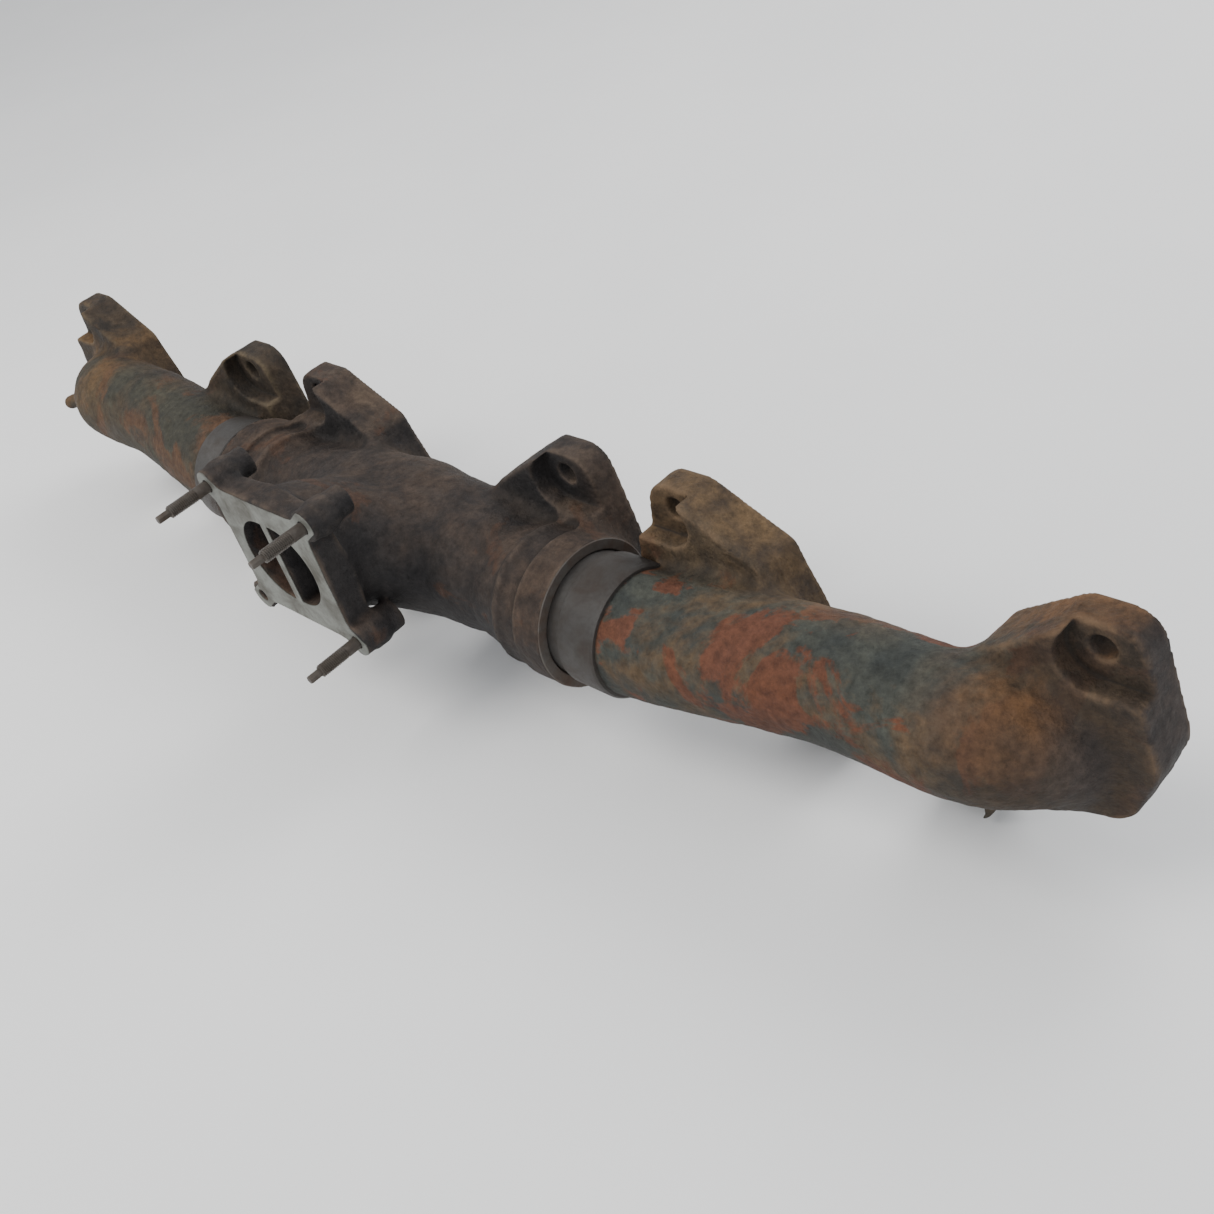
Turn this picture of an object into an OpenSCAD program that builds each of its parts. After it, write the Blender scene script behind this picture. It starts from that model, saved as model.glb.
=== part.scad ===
// Three-piece exhaust manifold for an in-line six-cylinder diesel engine.
// Frame: origin at the centre of the turbocharger flange face, +X along the engine
// towards cylinder 6, +Y towards the cylinder head, +Z up. All sizes in millimetres.
// The rear section is drawn on the +X side and the front section is its counterpart on -X.

/* [Layout] */
// Distance between neighbouring cylinder ports
port_pitch = 160; // [150:1:200]
// Distance from the turbocharger flange face to the cylinder head face
head_reach = 140; // [130:1:180]
// Distance that the row of ports lies towards cylinder 6 from the turbocharger flange centre
row_x = 8.5; // [0:0.5:12]
// Drop of the port centres below the turbocharger flange centre
port_drop = 42; // [30:1:60]
// Distance from the head face to the log axis in the centre section
log_standoff = 59; // [54:0.5:75]
// Rise of the log axis above the port centres in the centre section
log_rise = 5.5; // [0:0.5:15]

/* [Port flanges] */
// Thickness of a port flange
flange_t = 30; // [20:1:36]
// Thickness left under the head of a flange bolt
seat_t = 18; // [12:1:19]
// Diameter of the recess for the bolt head
seat_d = 33; // [28:1:36]
// Diameter of a flange bolt hole
bolt_hole_d = 12.5; // [10:0.5:14]
// Distance of a bolt hole to the side of the port centre
bolt_side = 39; // [36:1:48]
// Distance of a bolt hole above or below the port centre
bolt_height = 60; // [56:1:66]
// Distance from a bolt hole's centre to the flange's upper or lower edge
boss_top = 13; // [12:0.5:18]
// Distance from a bolt hole's centre to the flange's side edge
boss_side = 17; // [15:0.5:20]
// Half width of a flange on the side of its upper bolt
flange_side = 67; // [63:1:70]
// Distance from the port centre to the upper shoulder of flanges 1, 3 and 5
shoulder_odd = 24; // [20:1:32]
// Distance from the port centre to the upper shoulder of flanges 2, 4 and 6
shoulder_even = 13; // [10:1:32]
// Diameter of a gas port
port_d = 50; // [40:1:56]

/* [Log and ducts] */
// Outside diameter of the log tubes
log_d = 68; // [60:1:72]
// Wall thickness of the castings
wall = 7; // [5:0.5:9]
// Distance that the log tube of an end section moves towards the head
end_shift = 12; // [6:1:16]
// Distance that the log tube of an end section rises
end_rise = 9; // [0:1:12]
// Distance that the elbow at the last port bulges outwards from the port centre
elbow_out = 13; // [0:1:16]
// Diameter of the small lug on the front elbow
lug_d = 14; // [10:1:18]
// Outside diameter of the ducts to the turbocharger flange
duct_d = 72; // [66:1:78]
// Distance of the centre of a duct's round side from the dividing wall's middle
duct_side = 6; // [4:0.5:10]
// Thickness of the wall between the two gas ducts
divider_t = 6; // [4:0.5:10]

/* [Turbocharger flange] */
// Width between the studs of the turbocharger flange
stud_width = 98; // [94:1:110]
// Height between the studs of the turbocharger flange
stud_height = 83; // [78:1:92]
// Thickness of the turbocharger flange
face_t = 18; // [12:1:24]
// Width of the turbocharger flange between its corner bosses
face_w = 94; // [90:1:104]
// Height of the turbocharger flange between its corner bosses
face_h = 86; // [80:1:94]
// Radius of the corner bosses around the studs
face_boss_r = 10; // [8:0.5:13]
// Depth of the corner bosses behind the flange face
face_boss_t = 30; // [24:1:36]
// Radius of the gas openings' round sides
opening_r = 28; // [24:0.5:29]

/* [Studs] */
// Outside diameter of the stud shank
stud_d = 8; // [7:0.5:10]
// Diameter of the tapped holes for the studs
tapped_d = 6.8; // [6:0.1:8.5]
// Depth of the tapped holes
tapped_depth = 24; // [16:1:26]
// Diameter of the relief around each tapped hole at the face
relief_d = 8.8; // [8.4:0.2:10]
// Depth of the relief
relief_depth = 1; // [0.5:0.5:2]
// Length of the stud shank outside the flange face
stud_out = 28; // [20:1:40]
// Length of the reduced end of a stud
stud_tip = 8; // [4:1:12]
// Diameter of the reduced end of a stud
stud_tip_d = 5.5; // [4:0.5:6.5]

/* [Slip joints] */
// Distance from the middle of the port row to a collar's end face
collar_end = 161.5; // [158:0.5:164]
// Outside diameter of a collar
collar_d = 86; // [84:1:92]
// Length of a collar's full-diameter band
collar_band = 22; // [14:1:30]
// Bore of a collar
collar_bore_d = 72; // [70:0.5:74]
// Outside diameter of the bell between the log and a collar's band
bell_d = 80; // [80:1:84]
// Depth of a collar's bore
collar_depth = 38; // [36:1:40]
// Length of the spigot inside the collar at rest
spigot_in = 30; // [26:1:32]
// Gap between the collar's end face and the tube's shoulder at rest
joint_gap = 8.5; // [6:0.5:12]
// Radial clearance between spigot and collar bore
spigot_gap = 0.5; // [0.4:0.1:0.8]
// Diameter of the tube's machined shoulder
shoulder_d = 75; // [73:0.5:80]
// Length of the tube's machined shoulder
shoulder_len = 26; // [16:1:30]

/* [Seal rings] */
// Width of a seal ring
ring_w = 3; // [2:0.25:3.5]
// Radial thickness of a seal ring
ring_t = 3.4; // [2.5:0.1:4]
// Distance from one ring to the next
ring_step = 6; // [5:0.5:8]
// Distance from the spigot's end to its first ring
ring_start = 4; // [3:0.5:6]
// Running clearance between ring and collar bore
ring_fit = 0.05; // [0.02:0.01:0.08]
// Clearance between a ring and its groove
groove_gap = 0.4; // [0.3:0.05:0.6]
// Gap between the ends of a split ring
ring_split = 1.2; // [0.8:0.1:2]

/* [Hidden] */
$fn = 64;
FRONT = -1;
REAR = 1;
INNER = 0;
MIDDLE = 1;
OUTER = 2;
overlap = 1;
// Lap of the round bars past a corner
lap = 6;
// Radial step from the log down to its end bend
step_down = 0.8;
// Clear height in front of a bolt's seat
recess_reach = 20;
head_y = head_reach;
port_z = -port_drop;
log_y = head_y - log_standoff;
log_z = port_z + log_rise;
log_bore = log_d - 2 * wall;
neck_d = port_d + 2 * wall + 6;
// The log axis away from the joints
end_y = log_y + end_shift;
end_z = log_z + end_rise;
spigot_d = collar_bore_d - 2 * spigot_gap;
spigot_end = collar_end - spigot_in;
shoulder_x = collar_end + joint_gap;
swing_from = shoulder_x + shoulder_len;
swing_back = 0.25 * port_pitch;
bore_from = swing_back - 0.4 * log_bore;
// Where the log is in line with the collar, and how far before that the bell begins
neck_from = 102;
bell_lead = 2;
swing_to = 2 * port_pitch;
centre_port_x = 0.5 * port_pitch;
near_port_x = 1.5 * port_pitch;
last_port_x = 2.5 * port_pitch;
elbow_x = last_port_x + elbow_out;
// The elbow at the last port turns from the log towards the head and down to the port
last_bend = norm([head_y - flange_t / 2 - end_y, end_z - port_z]);
last_tilt = atan2(end_z - port_z, head_y - flange_t / 2 - end_y);
// The lug's tip, measured from the elbow's outer corner
lug_x = 42;
lug_y = 15;
lug_drop = 12;
lug_root = 4;
// The ducts turn from the log to the straight passage behind the turbocharger flange
duct_straight = 20;
duct_rise = -log_z;
duct_bend = norm([log_y - duct_straight, duct_rise]);
duct_tilt = atan2(duct_rise, log_y - duct_straight);
duct_x = duct_side + duct_bend;
ring_od = collar_bore_d - 2 * ring_fit;
ring_id = ring_od - 2 * ring_t;
groove_d = ring_id - 2 * groove_gap;
groove_w = ring_w + 0.2;
iron_brown = [0.36, 0.29, 0.25];
iron_olive = [0.40, 0.36, 0.30];
iron_rust = [0.52, 0.30, 0.21];
steel_dark = [0.45, 0.42, 0.40];
steel_ring = [0.55, 0.54, 0.53];

// ---- outline helpers ----

function unit(v) = v / norm(v);

// Points of the arc of radius r that rounds corner b between its neighbours a and c
function corner_arc(a, b, c, r, steps = 5) =
    let (u = unit(a - b),
         v = unit(c - b),
         half = acos(u * v) / 2,
         middle = b + unit(u + v) * r / sin(half),
         first = b + u * r / tan(half) - middle,
         last = b + v * r / tan(half) - middle,
         from = atan2(first.y, first.x),
         turn = atan2(cross(first, last), first * last))
    [for (i = [0 : steps]) middle + r * [cos(from + turn * i / steps), sin(from + turn * i / steps)]];

// Corners is a list of [x, y, radius]
function rounded(corners) =
    let (n = len(corners))
    [for (i = [0 : n - 1])
        let (a = corners[(i + n - 1) % n], b = corners[i], c = corners[(i + 1) % n])
        each corner_arc([a.x, a.y], [b.x, b.y], [c.x, c.y], b.z)];

// ---- shared solids ----

// Moves what is drawn around the middle of the port row to the rear or the front side
module on_side(side) {
    translate([row_x, 0, 0]) mirror([side < 0 ? 1 : 0, 0, 0]) children();
}

// Round bar from point a to point b
module rod(a, b, d) {
    along = b - a;
    turn = atan2(along.y, along.x);
    lean = acos(along.z / norm(along));
    translate(a) rotate([0, lean, turn]) cylinder(d = d, h = norm(along));
}

// Distance that a round bar runs past corner i of the path, to close the corner's outer side
function past_corner(path, i, d) =
    i == 0 || i == len(path) - 1 ? 0 :
    let (turn = acos(unit(path[i] - path[i - 1]) * unit(path[i + 1] - path[i])))
    d / 2 * tan(turn / 2) + lap;

// Round bar along the path, with lapped corners
module pipe(path, d) {
    for (i = [0 : len(path) - 2]) {
        along = unit(path[i + 1] - path[i]);
        rod(path[i] - past_corner(path, i, d) * along, path[i + 1] + past_corner(path, i + 1, d) * along, d);
    }
}

// Cylinder along +X from x
module along_x(x, y, z, d, length) {
    translate([x, y, z]) rotate([0, 90, 0]) cylinder(d = d, h = length);
}

// Cylinder along +Y from y
module along_y(x, y, z, d, length) {
    translate([x, y, z]) rotate([-90, 0, 0]) cylinder(d = d, h = length);
}

// ---- port flanges ----

// Outline of a port flange around its port centre, with its upper bolt on the +X side
module flange_outline(shoulder) {
    top = bolt_height + boss_top;
    side = bolt_side + boss_side;
    port_edge = port_d / 2 + wall;
    polygon(rounded([
        [side + 1, top, 16],
        [flange_side + 2, 8, 24],
        [flange_side - 12, -port_edge + 3, 20],
        [-bolt_side + 34, -port_edge - 6, 12],
        [-bolt_side + 16, -top, 14],
        [-side, -top, 16],
        [-side + 2, -32, 20],
        [-port_edge - 6, 6, 20],
        [-shoulder, 48, 8],
        [bolt_side - 14, top, 16]]));
}

// Flange at port position x; hand is +1 where the upper bolt is on the +X side
module port_flange(x, hand, shoulder) {
    translate([x, head_y, port_z]) mirror([hand < 0 ? 1 : 0, 0, 0])
        rotate([90, 0, 0]) linear_extrude(flange_t) flange_outline(shoulder);
}

// Bolt holes, the recesses for their heads, open at the flange's edge, and the gas port
module port_flange_cuts(x, hand) {
    for (s = [-1, 1]) {
        bolt_x = x + s * hand * bolt_side;
        bolt_z = port_z + s * bolt_height;
        along_y(bolt_x, head_y - flange_t - overlap, bolt_z, bolt_hole_d, flange_t + 2 * overlap);
        along_y(bolt_x, head_y - seat_t - recess_reach, bolt_z, seat_d, recess_reach);
        translate([bolt_x, head_y - seat_t - recess_reach / 2, bolt_z])
            mirror([s * hand < 0 ? 1 : 0, 0, 0]) translate([0, -recess_reach / 2, -seat_d / 2])
                cube([2 * boss_side, recess_reach, seat_d]);
    }
}

// ---- end sections, drawn on the +X side ----

// Route of the log tube from the joint to the elbow at the last port
log_path = [[shoulder_x, log_y, log_z], [swing_from, log_y, log_z],
            [swing_to, end_y, end_z], [elbow_x - last_bend, end_y, end_z]];

log_bore_path = [[spigot_end - overlap, log_y, log_z], log_path[1], log_path[2], log_path[3]];

// Quarter bend from the log to the last port
module last_elbow(d) {
    translate([elbow_x - last_bend - step_down, end_y, end_z]) rotate([-last_tilt, 0, 0])
        translate([0, last_bend, 0]) rotate([0, 0, -90])
            rotate_extrude(angle = 90) translate([last_bend, 0]) circle(d = d - 2 * step_down);
}

module end_body(near_shoulder, last_shoulder) {
    difference() {
        union() {
            pipe(log_path, log_d);
            last_elbow(log_d);
            along_x(shoulder_x, log_y, log_z, shoulder_d, shoulder_len);
            along_x(spigot_end, log_y, log_z, spigot_d, joint_gap + spigot_in + overlap);
            port_flange(near_port_x, -1, near_shoulder);
            port_flange(last_port_x, 1, last_shoulder);
            along_y(near_port_x, log_y, port_z, neck_d, log_standoff - flange_t / 2);
            along_y(last_port_x, end_y + 14, port_z, neck_d, head_y - flange_t / 2 - end_y - 14);
        }
        pipe(log_bore_path, log_bore);
        last_elbow(log_bore);
        port_flange_cuts(near_port_x, -1);
        port_flange_cuts(last_port_x, 1);
        along_y(near_port_x, log_y, port_z, port_d, head_y - log_y + overlap);
        along_y(last_port_x, head_y - flange_t / 2 - 8, port_z, port_d, flange_t / 2 + 8 + overlap);
        for (i = [INNER, MIDDLE, OUTER]) ring_groove(i);
    }
}

module ring_groove(i) {
    difference() {
        along_x(ring_x(i) - 0.1, log_y, log_z, spigot_d + 4, groove_w);
        along_x(ring_x(i) - 0.2, log_y, log_z, groove_d, groove_w + 0.2);
    }
}

function ring_x(i) = spigot_end + ring_start + i * ring_step;

// Small cast lug on the outer corner of the front section's elbow
module corner_lug() {
    difference() {
        rod([elbow_x - lug_root, end_y + lug_root, end_z],
            [elbow_x + lug_x, end_y - lug_y, end_z - lug_drop], lug_d);
        last_elbow(log_bore + wall);
    }
}

module front_section() {
    color(iron_olive) on_side(FRONT) {
        end_body(shoulder_even, shoulder_odd);
        corner_lug();
    }
}

module rear_section() {
    color(iron_rust) on_side(REAR) end_body(shoulder_odd, shoulder_even);
}

// ---- centre section ----

// Section of one gas duct around the dividing wall, on the +X side
module duct_section(r, from_x) {
    intersection() {
        translate([duct_side, 0]) circle(r = r);
        translate([from_x, -r]) square([2 * r + duct_side, 2 * r]);
    }
}

// Duct on the +X side: bend from the log, then straight to the flange face
module duct(r, from_x, front) {
    translate([duct_x, duct_straight, 0]) rotate([-duct_tilt, 0, 0]) rotate([0, 0, 90])
        rotate_extrude(angle = 90) translate([duct_x, 0]) mirror([1, 0]) duct_section(r, from_x);
    translate([0, front, 0]) rotate([-90, 0, 0])
        linear_extrude(duct_straight + r * 0.62 - front) duct_section(r, from_x);
}

module collar() {
    translate([neck_from - bell_lead, log_y, log_z]) rotate([0, 90, 0])
        cylinder(d1 = log_d - 2, d2 = bell_d, h = collar_end - collar_depth - neck_from + bell_lead);
    along_x(collar_end - collar_depth - overlap, log_y, log_z, bell_d,
            collar_depth - collar_band + 2 * overlap);
    along_x(collar_end - collar_band, log_y, log_z, collar_d, collar_band);
}

// Route of the log from the middle of the port row to a collar
centre_path = [[0, end_y, end_z], [swing_back, end_y, end_z],
               [neck_from, log_y, log_z], [collar_end - collar_depth, log_y, log_z]];

module half_centre_solid(shoulder) {
    pipe(centre_path, log_d);
    collar();
    port_flange(centre_port_x, 1, shoulder);
    along_y(centre_port_x, log_y, port_z, neck_d, log_standoff - flange_t / 2);
}

module half_centre_cavity() {
    along_x(collar_end - collar_depth, log_y, log_z, collar_bore_d, collar_depth + overlap);
    pipe([[bore_from, end_y, end_z], [swing_back, end_y, end_z], [neck_from, log_y, log_z],
          [collar_end - collar_depth + overlap, log_y, log_z]], log_bore);
    port_flange_cuts(centre_port_x, 1);
    along_y(centre_port_x, log_y, port_z, port_d, head_y - log_y + overlap);
}

module face_outline() {
    square([face_w, face_h], center = true);
    for (sx = [-1, 1], sz = [-1, 1]) translate([sx * stud_width / 2, sz * stud_height / 2])
        circle(r = face_boss_r);
}

module turbo_flange() {
    rotate([-90, 0, 0]) linear_extrude(face_t) face_outline();
    for (sx = [-1, 1], sz = [-1, 1])
        along_y(sx * stud_width / 2, face_t - overlap, sz * stud_height / 2,
                2 * face_boss_r - 1, face_boss_t - face_t + overlap);
}

module centre_section() {
    color(iron_brown) difference() {
        union() {
            on_side(FRONT) half_centre_solid(shoulder_odd);
            on_side(REAR) half_centre_solid(shoulder_even);
            for (s = [0, 1]) mirror([s, 0, 0]) duct(duct_d / 2, -overlap, 2);
            turbo_flange();
        }
        on_side(FRONT) half_centre_cavity();
        on_side(REAR) half_centre_cavity();
        for (s = [0, 1]) mirror([s, 0, 0]) duct(opening_r, divider_t / 2, -overlap);
        for (sx = [-1, 1], sz = [-1, 1])
            along_y(sx * stud_width / 2, -overlap, sz * stud_height / 2, tapped_d, tapped_depth + overlap);
        for (sx = [-1, 1], sz = [-1, 1])
            along_y(sx * stud_width / 2, -overlap, sz * stud_height / 2, relief_d, relief_depth + overlap);
    }
}

// ---- seal rings ----

// Split ring number i of a joint, counted from the spigot's end
module seal_ring(side, i) {
    color(steel_ring) on_side(side) difference() {
        along_x(ring_x(i), log_y, log_z, ring_od, ring_w);
        along_x(ring_x(i) - overlap, log_y, log_z, ring_id, ring_w + 2 * overlap);
        translate([ring_x(i) - overlap, log_y, log_z]) rotate([120 * i + 40, 0, 0])
            translate([0, -ring_split / 2, 0]) cube([ring_w + 2 * overlap, ring_split, ring_od]);
    }
}

module front_inner_ring() { seal_ring(FRONT, INNER); }

module front_middle_ring() { seal_ring(FRONT, MIDDLE); }

module front_outer_ring() { seal_ring(FRONT, OUTER); }

module rear_inner_ring() { seal_ring(REAR, INNER); }

module rear_middle_ring() { seal_ring(REAR, MIDDLE); }

module rear_outer_ring() { seal_ring(REAR, OUTER); }

// ---- studs ----

module stud(sx, sz) {
    x = sx * stud_width / 2;
    z = sz * stud_height / 2;
    color(steel_dark) {
        along_y(x, -overlap, z, tapped_d, tapped_depth);
        along_y(x, -stud_out, z, stud_d, stud_out);
        along_y(x, -stud_out - stud_tip, z, stud_tip_d, stud_tip + overlap);
    }
}

module stud_upper_front() { stud(FRONT, 1); }

module stud_upper_rear() { stud(REAR, 1); }

module stud_lower_rear() { stud(REAR, -1); }

front_section();
centre_section();
rear_section();
front_inner_ring();
front_middle_ring();
front_outer_ring();
rear_inner_ring();
rear_middle_ring();
rear_outer_ring();
stud_upper_front();
stud_upper_rear();
stud_lower_rear();
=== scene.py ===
import math

import bpy
import numpy as np
from mathutils import Matrix, Vector, noise


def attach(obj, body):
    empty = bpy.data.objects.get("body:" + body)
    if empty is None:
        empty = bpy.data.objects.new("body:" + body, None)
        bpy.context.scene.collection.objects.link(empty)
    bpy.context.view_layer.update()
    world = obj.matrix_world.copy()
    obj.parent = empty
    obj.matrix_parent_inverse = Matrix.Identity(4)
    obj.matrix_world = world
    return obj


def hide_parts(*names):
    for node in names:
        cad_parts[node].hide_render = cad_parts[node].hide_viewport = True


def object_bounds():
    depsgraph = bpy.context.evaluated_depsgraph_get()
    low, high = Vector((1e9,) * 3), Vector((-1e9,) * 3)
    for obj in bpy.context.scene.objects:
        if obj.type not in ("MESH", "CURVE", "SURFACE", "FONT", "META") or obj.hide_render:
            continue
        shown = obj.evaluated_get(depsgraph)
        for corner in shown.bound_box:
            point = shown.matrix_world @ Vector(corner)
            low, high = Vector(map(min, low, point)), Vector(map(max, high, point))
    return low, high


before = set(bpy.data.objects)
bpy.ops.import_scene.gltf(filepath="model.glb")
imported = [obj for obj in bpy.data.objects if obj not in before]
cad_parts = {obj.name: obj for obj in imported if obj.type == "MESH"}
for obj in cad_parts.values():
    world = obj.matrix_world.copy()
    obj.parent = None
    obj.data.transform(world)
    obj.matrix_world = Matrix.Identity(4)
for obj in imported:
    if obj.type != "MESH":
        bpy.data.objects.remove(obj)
START_BOX = [[float(c) for c in corner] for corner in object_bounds()]
MM = 0.001
GRID = 1.35

# ---- the part's sizes, in millimetres, in the row frame ----
ROW_X = 8.5
PITCH = 160.0
HEAD_Y = 140.0
PORT_Z = -42.0
LOG_Y, LOG_Z = 81.0, -36.5
END_Y, END_Z = 93.0, -27.5
FLANGE_T, SEAT_T, SEAT_D, HOLE_D = 30.0, 18.0, 33.0, 12.5
BOLT_X, BOLT_Z = 39.0, 60.0
BOSS_TOP, BOSS_SIDE, FLANGE_SIDE = 13.0, 17.0, 67.0
PORT_D, WALL, LOG_D = 50.0, 7.0, 68.0
BORE_D = LOG_D - 2 * WALL
SHOULDER_ODD, SHOULDER_EVEN = 24.0, 13.0
COLLAR_END, COLLAR_D, COLLAR_BAND, COLLAR_BORE, COLLAR_DEPTH = 161.5, 86.0, 22.0, 72.0, 38.0
BELL_D = 80.0
SPIGOT_END, SHOULDER_X, SHOULDER_D, SHOULDER_LEN = 131.5, 170.0, 75.0, 26.0
SWING_FROM, SWING_TO = SHOULDER_X + SHOULDER_LEN, 2 * PITCH
NECK_FROM = 102.0
ELBOW_X = 2.5 * PITCH + 13.0
LAST_BEND = math.hypot(HEAD_Y - FLANGE_T / 2 - END_Y, END_Z - PORT_Z)
LAST_TILT = math.atan2(END_Z - PORT_Z, HEAD_Y - FLANGE_T / 2 - END_Y)
DUCT_SIDE, DUCT_STRAIGHT = 6.0, 20.0
DUCT_BEND = math.hypot(LOG_Y - DUCT_STRAIGHT, LOG_Z)
DUCT_TILT = math.atan2(-LOG_Z, LOG_Y - DUCT_STRAIGHT)
DUCT_X = DUCT_SIDE + DUCT_BEND
OPENING_R, DIVIDER = 28.0, 6.0
STUD_X, STUD_Z = 49.0, 41.5
STUD_PLACES = [(sx * STUD_X, sz * STUD_Z) for sx in (-1, 1) for sz in (-1, 1)]
TAPPED_R, TAPPED_DEPTH, RELIEF_R = 3.4, 24.0, 4.4
RING_COUNT, RING_START, RING_PITCH, RING_W, RING_PLAY = 3, 4, 6, 3, 0.1
SPIGOT_R, GROOVE_R, BORE_LINER_R = 35.5, 32.15, 27.2
TURBO_T, TURBO_HALF_X, TURBO_HALF_Z, TURBO_CORNER_R, TURBO_BOSS_R = 18, 47, 43, 10, 9.3

# Shapes of the castings: radii a little off the nominal ones, as cast, and the sizes of blends
LOG_R, LOG_THIN, LAST_R, LAST_SWELL = 34.6, 1.9, 33.2, 0.5
NECK_R, DUCT_R, DUCT_BORE_R = 34, 35.6, 25.5
BLEND_NECK, BLEND_FLANGE, BLEND_DUCT, BLEND_SEAT, BLEND_BORE = 14, 12, 10, 1.6, 4
# How far castings stay inside their flange outlines, collars and turbocharger face
SKIN = 0.35
# How far a port's bore is cut past its face
PAST = 9


# ---- distance fields ----

def smooth_min(a, b, k):
    """The lesser of two fields, blended where they differ by less than k."""
    h = np.maximum(k - np.abs(a - b), 0) / k
    return np.minimum(a, b) - h * h * k / 4


def smooth_max(a, b, k):
    return -smooth_min(-a, -b, k)


class Grid:
    """Points of a box, and the fields measured on them."""

    def __init__(self, low, high, step=GRID):
        self.low = np.array(low, float)
        self.step = step
        n = np.ceil((np.array(high) - self.low) / step).astype(int) + 1
        self.x, self.y, self.z = (
            (self.low[i] + step * np.arange(n[i])).astype(np.float32) for i in range(3))
        self.X, self.Y, self.Z = (
            self.x[:, None, None], self.y[None, :, None], self.z[None, None, :])

    def bar(self, a, b, ra, rb=None):
        """Round-ended bar from a to b with radius ra to rb."""
        rb = ra if rb is None else rb
        d = [q - p for p, q in zip(a, b)]
        n = sum(c * c for c in d)
        t = ((self.X - a[0]) * d[0] + (self.Y - a[1]) * d[1] + (self.Z - a[2]) * d[2]) / n
        t = np.clip(t, 0, 1)
        q = np.sqrt((self.X - a[0] - t * d[0]) ** 2 + (self.Y - a[1] - t * d[1]) ** 2
                    + (self.Z - a[2] - t * d[2]) ** 2)
        return q - (ra + (rb - ra) * t)

    def path(self, points, radii):
        """Round-ended bars from point to point."""
        out = None
        for i in range(len(points) - 1):
            d = self.bar(points[i], points[i + 1], radii[i], radii[i + 1])
            out = d if out is None else np.minimum(out, d)
        return out

    def tube_x(self, y, z, r, x0, x1):
        d = np.sqrt((self.Y - y) ** 2 + (self.Z - z) ** 2) - r
        return np.maximum(np.maximum(d, x0 - self.X), self.X - x1)

    def tube_y(self, x, z, r, y0, y1):
        d = np.sqrt((self.X - x) ** 2 + (self.Z - z) ** 2) - r
        return np.maximum(np.maximum(d, y0 - self.Y), self.Y - y1)

    def cone_x(self, y, z, x0, r0, x1, r1):
        slope = (r1 - r0) / (x1 - x0)
        d = (np.sqrt((self.Y - y) ** 2 + (self.Z - z) ** 2) - (r0 + (self.X - x0) * slope))
        d = d / math.hypot(1, slope)
        return np.maximum(np.maximum(d, x0 - self.X), self.X - x1)

    def outline_xz(self, points):
        """Signed distance in X and Z to a closed outline."""
        px, pz = np.meshgrid(self.x, self.z, indexing="ij")
        best = np.full(px.shape, 1e9, np.float32)
        side = np.ones(px.shape, np.float32)
        n = len(points)
        for i in range(n):
            (ax, az), (bx, bz) = points[i], points[(i + 1) % n]
            ex, ez = bx - ax, bz - az
            wx, wz = px - ax, pz - az
            t = np.clip((wx * ex + wz * ez) / (ex * ex + ez * ez + 1e-12), 0, 1)
            best = np.minimum(best, (wx - ex * t) ** 2 + (wz - ez * t) ** 2)
            c1, c2, c3 = pz >= az, pz < bz, ex * wz > ez * wx
            flip = (c1 & c2 & c3) | (~c1 & ~c2 & ~c3)
            side = np.where(flip, -side, side)
        return (side * np.sqrt(best))[:, None, :]

    def slab(self, flat, y0, y1, r):
        """A flat outline between two planes across Y, with rounded front edges."""
        dy = y0 - self.Y
        u, v = flat + r, dy + r
        d = (np.sqrt(np.maximum(u, 0) ** 2 + np.maximum(v, 0) ** 2)
             + np.minimum(np.maximum(u, v), 0) - r)
        return np.maximum(d, self.Y - y1)


def corner_arc(a, b, c, r, steps=6):
    """Points of the arc of radius r that rounds the corner b between a and c."""
    a, b, c = (np.array(p, float) for p in (a, b, c))
    u, v = (a - b) / np.linalg.norm(a - b), (c - b) / np.linalg.norm(c - b)
    half = math.acos(float(u @ v)) / 2
    m = b + (u + v) / np.linalg.norm(u + v) * r / math.sin(half)
    first, last = b + u * r / math.tan(half) - m, b + v * r / math.tan(half) - m
    start = math.atan2(first[1], first[0])
    turn = math.atan2(first[0] * last[1] - first[1] * last[0], float(first @ last))
    return [tuple(m + r * np.array([math.cos(start + turn * i / steps),
                                    math.sin(start + turn * i / steps)]))
            for i in range(steps + 1)]


def rounded(corners):
    """A closed outline through corners given as (x, z, radius)."""
    out = []
    n = len(corners)
    for i in range(n):
        a, b, c = corners[i - 1], corners[i], corners[(i + 1) % n]
        out += corner_arc(a[:2], b[:2], c[:2], b[2])
    return out


def flange_outline(x, hand, shoulder):
    """A port flange's outline about port x: two bolt bosses across a diagonal."""
    top, side, edge = BOLT_Z + BOSS_TOP, BOLT_X + BOSS_SIDE, PORT_D / 2 + WALL
    pts = rounded([
        (side + 1, top, 16), (FLANGE_SIDE + 2, 8, 24), (FLANGE_SIDE - 12, -edge + 3, 20),
        (-BOLT_X + 34, -edge - 6, 12), (-BOLT_X + 16, -top, 14), (-side, -top, 16),
        (-side + 2, -32, 20), (-edge - 6, 6, 20), (-shoulder, 48, 8), (BOLT_X - 14, top, 16)])
    return [(x + hand * px, PORT_Z + pz) for px, pz in pts]


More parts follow.
